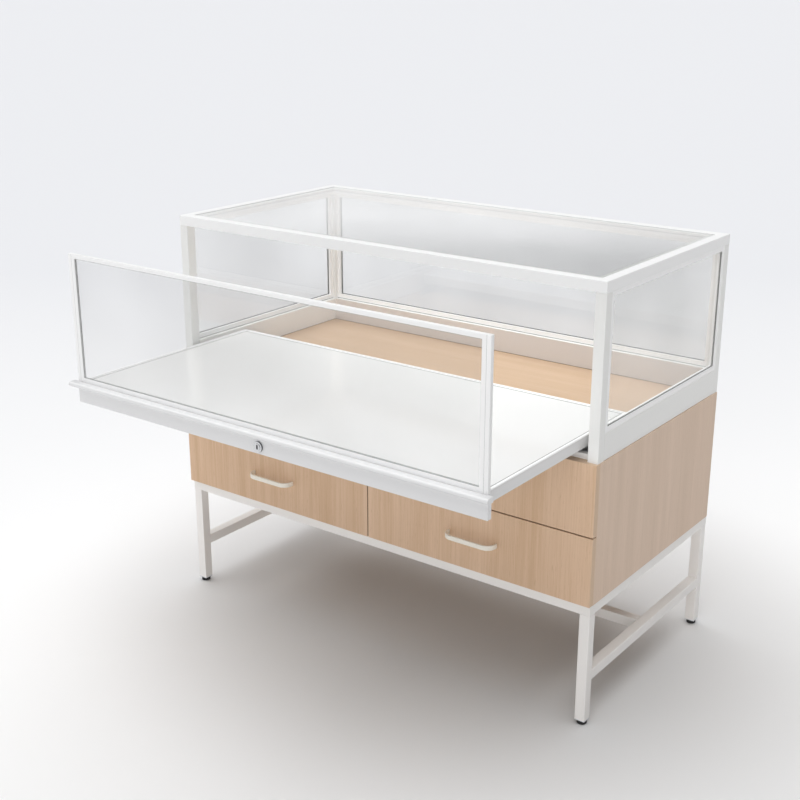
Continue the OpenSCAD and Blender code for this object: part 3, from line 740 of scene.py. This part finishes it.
def bow_handle(node, body):
    """A bow in the box of its measured solid, swept from the left end to the right one."""
    low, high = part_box(node)
    straight_out = (high.y - low.y) - BOW_BEND
    bend_y = high.y - straight_out
    middle_z = (low.z + high.z) / 2
    bpy.ops.object.select_all(action="DESELECT")
    bpy.ops.mesh.primitive_plane_add(size=1, location=(low.x + BOW_THICK / 2, high.y, middle_z),
                                     rotation=(pi / 2, 0, 0))
    piece = bpy.context.object
    piece.name = node + "_bow"
    piece.scale = (BOW_THICK, high.z - low.z, 1)
    bpy.ops.object.transform_apply(location=True, rotation=True, scale=True)
    bpy.ops.object.mode_set(mode="EDIT")
    bpy.ops.mesh.select_all(action="SELECT")
    bpy.ops.mesh.delete(type="ONLY_FACE")
    bpy.ops.mesh.select_all(action="SELECT")
    sweep((0, -straight_out, 0))
    bpy.ops.mesh.spin(steps=BEND_STEPS, angle=-pi / 2, center=(low.x + BOW_BEND, bend_y, middle_z), axis=(0, 0, 1))
    sweep((high.x - low.x - 2 * BOW_BEND, 0, 0))
    bpy.ops.mesh.spin(steps=BEND_STEPS, angle=-pi / 2, center=(high.x - BOW_BEND, bend_y, middle_z), axis=(0, 0, 1))
    sweep((0, straight_out, 0))
    bpy.ops.mesh.select_all(action="SELECT")
    bpy.ops.mesh.remove_doubles(threshold=SAME_PLACE)
    bpy.ops.mesh.fill_holes(sides=4)
    bpy.ops.mesh.normals_make_consistent(inside=False)
    bpy.ops.object.mode_set(mode="OBJECT")
    round_edges(piece, BOW_EASE, 3)
    dress(piece, handle_cream, body, "handle_paint", node)


for side in ("left", "right"):
    bow_handle(f"drawer_{side}_handle", f"drawer_{side}")

# %% [markdown]
# ## Gaskets
#
# Each pane is held in its groove by a soft grey strip on both sides, which shows as a thin dark line all round the
# glass. It is the line that makes clear glass readable in the picture. Every strip is a ring that fills the corner
# between the pane and the opening's edge.

# %% Gasket rings, first on the front pane
GASKET, GASKET_DEEP = 0.0010, 0.0009
GASKET_EASE = 0.0003


def gasket_pair(name, pane, opening_low, opening_high, axis, body, material):
    """Two rings, one on each face of a pane, inside the opening's edges."""
    pane_low, pane_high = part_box(pane)
    for end, start, stop in (("outer", pane_low[axis] - GASKET_DEEP, pane_low[axis]),
                             ("inner", pane_high[axis], pane_high[axis] + GASKET_DEEP)):
        low, high = list(opening_low), list(opening_high)
        low[axis], high[axis] = start, stop
        ring = flat_ring(f"{name}_{end}", low, high, axis, GASKET, GASKET_EASE)
        dress(ring, material, body, "powder_white")


gasket_pair("front_pane_gasket", "display_glass",
            (frame_low.x + STILE, 0, frame_low.z + RAIL), (frame_high.x - STILE, 0, frame_high.z - RAIL),
            1, "display", gasket_grey)

# %% Gaskets of the case's three panes
CHANNEL_SIDE, CHANNEL_FOOT = 0.010, 0.012
HIDDEN = 0.003  # how far the top strips of the panes sink into their channel

channels_low, channels_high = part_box("glazing_channels")
post_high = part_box("post_front_left")[1]
rear_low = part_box("post_rear_right")[0]
foot_z, head_z = channels_low.z + CHANNEL_FOOT, channels_high.z - CHANNEL_SIDE
gasket_pair("rear_pane_gasket", "glass_rear",
            (post_high.x + CHANNEL_SIDE, 0, foot_z), (rear_low.x - CHANNEL_SIDE, 0, head_z + HIDDEN), 1, "counter",
            seal_dark)
for side in ("left", "right"):
    gasket_pair(f"{side}_pane_gasket", f"glass_{side}",
                (0, post_high.y + CHANNEL_SIDE, foot_z), (0, rear_low.y - CHANNEL_SIDE, head_z + HIDDEN),
                0, "counter", seal_dark)

# %% [markdown]
# ## The bead on the case's floor
#
# Where the steel skirts stand on the wooden floor, a thin bead of warm grey sealant closes the joint, and its dark
# colour paints the shade in that corner, a hairline round the floor. It is one more flat ring, laid into the corner.

# %% Sealant bead, whose colour paints the corner's shade
FLOOR_BEAD, FLOOR_BEAD_EASE = 0.0012, 0.0004

sill_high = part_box("case_sill")[1]
floor_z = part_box("cabinet_top")[1].z
bead = flat_ring("floor_shade_bead", (post_high.x, sill_high.y, floor_z), (rear_low.x, rear_low.y, floor_z + FLOOR_BEAD),
                 2, FLOOR_BEAD, FLOOR_BEAD_EASE)
dress(bead, bead_shade_brown, "counter", "powder_white")

# %% [markdown]
# ## Strips inside the top rails
#
# Under the top pane's ledge a brighter band runs along the inner side of each top rail, with a fine grey line over
# it. The band is a white strip in the brightest white, which paints the light that falls there, and the grey line is
# painted shade under the rails' edge. Both are flat rings, one above the other, that fill the opening between the
# rails. A second colour on the rails themselves would look alike, but the rails are measured solids, which keep their
# mesh.

# %% Strips inside the top rails: a painted band of light and a painted line of shade
# the white strip paints light, the grey line above it paints shade
STRIP_LOW, STRIP_TOP, SHADE_LINE_HIGH = 0.0003, 0.0085, 0.0016  # above the rails' underside, and the joint's height
STRIP_THIN, STRIP_EASE = 0.0006, 0.0002

rail_front, rail_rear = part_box("top_rail_front"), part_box("top_rail_rear")
rail_left, rail_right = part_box("top_rail_left"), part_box("top_rail_right")
under = rail_rear[0].z
for name, start, stop, paint in (("rail_strip", STRIP_LOW, STRIP_TOP, brightest_lit_white),
                                 ("rail_strip_shade_line", STRIP_TOP, STRIP_TOP + SHADE_LINE_HIGH, joint_and_shade_grey)):
    ring = flat_ring(name, (rail_left[1].x, rail_front[1].y, under + start),
                     (rail_right[0].x, rail_rear[0].y, under + stop), 2, STRIP_THIN, STRIP_EASE)
    dress(ring, paint, "counter", "powder_white")

# %% [markdown]
# ## Foil on the skirts, and strips in the gaps
#
# Inside the case the skirts carry a matt foil that hides their welds. The foil on the rear skirt is a warm grey that
# paints the shade there, and the one on the left skirt a brighter white that paints the light on it. Above it a bead
# of sealant lies in the corner where each glazing channel stands on the skirt's ledge, and its grey paints the
# shadow line there. The gaps between the fronts look almost black brown, because a dark brown strip behind them
# paints their shade. All are thin boards with eased edges: they exist to be seen in a gap or under a pane, so they
# are no thicker than they need.

# %% Foil on the skirts, in tones that paint shade on the rear and light on the left
FOIL = 0.0004
FOIL_SHORT = 0.001  # the foil ends this far under the skirt's top


def thin_strip(name, low, high, material, slot="powder_white"):
    """A thin board between two corners, on the counter."""
    piece = start_cube(name, low, high)
    bevel_all(FOIL / 4)
    dress(piece, material, "counter", slot)


low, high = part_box("skirt_rear")
thin_strip("skirt_rear_shade_foil", (post_high.x, low.y - FOIL, floor_z + FLOOR_BEAD),
           (rear_low.x, low.y, high.z - FOIL_SHORT), foil_shade_grey)
ledge = high.z
low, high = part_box("skirt_left")
thin_strip("skirt_left_light_foil", (high.x, post_high.y, floor_z + FLOOR_BEAD),
           (high.x + FOIL, rear_low.y, high.z - FOIL_SHORT), foil_light_white)

# %% Beads between the channels' feet and the skirts' ledge, whose grey paints the shadow line there
CHANNEL_DEEP, CHANNEL_BEAD = 0.014, 0.0013

inner_y, inner_x = channels_high.y - CHANNEL_DEEP, channels_high.x - CHANNEL_DEEP
top = ledge + CHANNEL_BEAD
for name, low, high in (
        ("rear_channel_bead", (post_high.x, inner_y - CHANNEL_BEAD, ledge), (rear_low.x, inner_y, top)),
        ("left_channel_bead", (-inner_x, post_high.y, ledge), (CHANNEL_BEAD - inner_x, rear_low.y, top)),
        ("right_channel_bead", (inner_x - CHANNEL_BEAD, post_high.y, ledge), (inner_x, rear_low.y, top))):
    thin_strip(name, low, high, joint_and_shade_grey)

# %% Dark strips behind the fronts, which paint the shade in the gaps
SHADE_STRIP_ENDS, SHADE_STRIP_BACK = 0.02, 0.005  # how far the long strip stops short of the fascia's ends and behind its face
SHADE_STRIP_DEEP = 0.0012  # how far it reaches behind the fascia
SHADE_STRIP_IN = 0.002  # how far the short one lies inside the drawer fronts
SHADE_STRIP_CLEAR, FASCIA_CLEAR = 0.0003, 0.0001  # room to the drawer fronts and the fascia

fascia_low, fascia_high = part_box("upper_fascia")
left_low, left_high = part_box("drawer_left_front")
right_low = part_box("drawer_right_front")[0]
back = fascia_high.y
thin_strip("fascia_gap_shade_strip", (fascia_low.x + SHADE_STRIP_ENDS, fascia_low.y + SHADE_STRIP_BACK, left_high.z + SHADE_STRIP_CLEAR),
           (fascia_high.x - SHADE_STRIP_ENDS, back + SHADE_STRIP_DEEP, fascia_low.z - FASCIA_CLEAR), gap_shade_brown, "oak_laminate")
thin_strip("drawer_gap_shade_strip", (left_high.x + SHADE_STRIP_CLEAR, left_low.y + SHADE_STRIP_IN, left_low.z + SHADE_STRIP_IN),
           (right_low.x - SHADE_STRIP_CLEAR, back, left_high.z), gap_shade_brown, "oak_laminate")

# %% [markdown]
# ## The lock
#
# A cam lock has a stout round head that stands 4 mm proud of the fascia, with a turning plug in its middle. The head
# and its barrel are one turned piece with a hole through it: a cylinder whose two faces are inset and stepped, and
# whose inner edges are then bridged to make the bore. Its side takes a darker copy of the nickel, which paints its
# shade. The plug is the measured solid; its key slot gets a black lining that paints the shade in the slot.

# %% Lock head and barrel
low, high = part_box("lock_barrel")
centre_x, centre_z = (low.x + high.x) / 2, (low.z + high.z) / 2
HEAD, BARREL, BORE = (high.x - low.x) / 2, 0.0092, 0.0056  # radii
HEAD_EASE = 0.0007
ON_AXIS = 0.001  # how near the lock's axis the middle of an end face lies
fascia_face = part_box("display_fascia")[0].y

bpy.ops.object.select_all(action="DESELECT")
bpy.ops.mesh.primitive_cylinder_add(vertices=64, radius=HEAD, depth=fascia_face - low.y,
                                    location=(centre_x, (fascia_face + low.y) / 2, centre_z), rotation=(pi / 2, 0, 0))
head = bpy.context.object
head.name = "lock_head"
bpy.ops.object.transform_apply(location=True, rotation=True, scale=True)


def pick_faces(piece, test):
    """Selects the faces whose centre and normal pass the test, in edit mode."""
    bpy.ops.mesh.select_all(action="DESELECT")
    bpy.ops.object.mode_set(mode="OBJECT")
    for polygon in piece.data.polygons:
        polygon.select = test(polygon.center, polygon.normal)
    bpy.ops.object.mode_set(mode="EDIT")


bpy.ops.object.mode_set(mode="EDIT")
bpy.ops.mesh.select_mode(type="FACE")
pick_faces(head, lambda c, n: n.y > FLAT)
bpy.ops.mesh.inset(thickness=HEAD - BARREL)
sweep((0, high.y - fascia_face, 0))
bpy.ops.mesh.inset(thickness=BARREL - BORE)
pick_faces(head, lambda c, n: n.y < -FLAT)
bpy.ops.mesh.inset(thickness=HEAD - BORE)
pick_faces(head, lambda c, n: abs(n.y) > FLAT and abs(c.x - centre_x) < ON_AXIS and abs(c.z - centre_z) < ON_AXIS)
bpy.ops.mesh.bridge_edge_loops()
bpy.ops.mesh.select_all(action="SELECT")
bpy.ops.mesh.normals_make_consistent(inside=False)
bpy.ops.object.mode_set(mode="OBJECT")
round_edges(head, HEAD_EASE)
# the face in polished nickel, and the side in the darker copy that paints its shade
two_finishes(head, nickel, lock_shaded_side, lambda normal: normal.y < -0.5)
dress(head, nickel, "display", "lock_chrome", "lock_barrel")

# %% Key slot lining, a black that paints the shade in the slot
KEY_WIDE, KEY_HIGH = 0.0040, 0.0100
KEY_PROUD, KEY_DEEP, KEY_EASE = 0.0002, 0.0006, 0.0003

plug_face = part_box("lock_plug")[0].y
slot_shade = start_cube("key_slot", (centre_x - KEY_WIDE / 2, plug_face - KEY_PROUD, centre_z - KEY_HIGH / 2),
                    (centre_x + KEY_WIDE / 2, plug_face + KEY_DEEP, centre_z + KEY_HIGH / 2))
bevel_all(KEY_EASE)
dress(slot_shade, key_slot_black, "lock_cam", "lock_chrome")

# %% [markdown]
# ## Screws
#
# Zinc plated pan head screws hold the slides' flanges to the floor and the back panel to the carcass. One screw is
# made: a short cylinder whose top is bevelled to a dome and whose middle is pressed in as the recess. Copies of
# it go to each place, each with its own mesh, and one object holds them all.

# %% One pan head screw, looking up
SCREW_RADIUS, SCREW_HIGH = 0.0037, 0.0022


def pan_head(radius=SCREW_RADIUS, height=SCREW_HIGH):
    """A domed head with a round recess, standing at the origin."""
    bpy.ops.object.select_all(action="DESELECT")
    bpy.ops.mesh.primitive_cylinder_add(vertices=16, radius=radius, depth=height, location=(0, 0, height / 2))
    screw = bpy.context.object
    bpy.ops.object.transform_apply(location=True, rotation=True, scale=True)
    bpy.ops.object.mode_set(mode="EDIT")
    bpy.ops.mesh.select_mode(type="FACE")
    pick_faces(screw, lambda c, n: n.z > FLAT)
    bpy.ops.mesh.bevel(offset=height * 0.6, segments=3, affect="EDGES")
    pick_faces(screw, lambda c, n: n.z > 0.99)
    bpy.ops.mesh.inset(thickness=radius * 0.12)
    bpy.ops.mesh.inset(thickness=radius * 0.05, depth=-height * 0.5)
    bpy.ops.object.mode_set(mode="OBJECT")
    bpy.ops.object.shade_smooth_by_angle(angle=radians(40))
    return screw


def place_screws(name, screw, places, turn, body):
    """Copies of the screw, turned and moved to each place and joined to one object."""
    copies = []
    for place in places:
        copy = screw.copy()
        copy.data = screw.data.copy()
        copy.location = place
        copy.rotation_euler = turn
        bpy.context.scene.collection.objects.link(copy)
        copies.append(copy)
    bpy.data.objects.remove(screw)
    screws = join_all(copies, name)
    bpy.ops.object.transform_apply(location=True, rotation=True, scale=True)
    dress(screws, zinc_strip, body, "zinc_steel")


print("screw heads of", 2 * SCREW_RADIUS, "m")

# %% Screws on the slides' flanges
FLANGE_THICK = 0.002
SCREW_IN = 0.0078  # from the flange's outer edge to the screws' middle line
FLANGE_END = 0.030

outer_low, outer_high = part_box("display_slide_outers")
first, last = outer_low.y + FLANGE_END, outer_high.y - FLANGE_END
places = [(side * (outer_high.x - SCREW_IN), y, floor_z + FLANGE_THICK)
          for side in (-1, 1) for y in (first, (first + last) / 2, last)]
place_screws("slide_screws", pan_head(), places, (0, 0, 0), "counter")

# %% Screws round the back panel
SCREW_ROW = 7
FROM_SIDE, FROM_EDGE = 0.02, 0.009

back_low, back_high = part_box("cabinet_back")
pitch = (back_high.x - back_low.x - 2 * FROM_SIDE) / (SCREW_ROW - 1)
places = [(back_low.x + FROM_SIDE + pitch * n, back_high.y, z)
          for n in range(SCREW_ROW) for z in (back_low.z + FROM_EDGE, back_high.z - FROM_EDGE)]
place_screws("back_panel_screws", pan_head(), places, (-pi / 2, 0, 0), "counter")
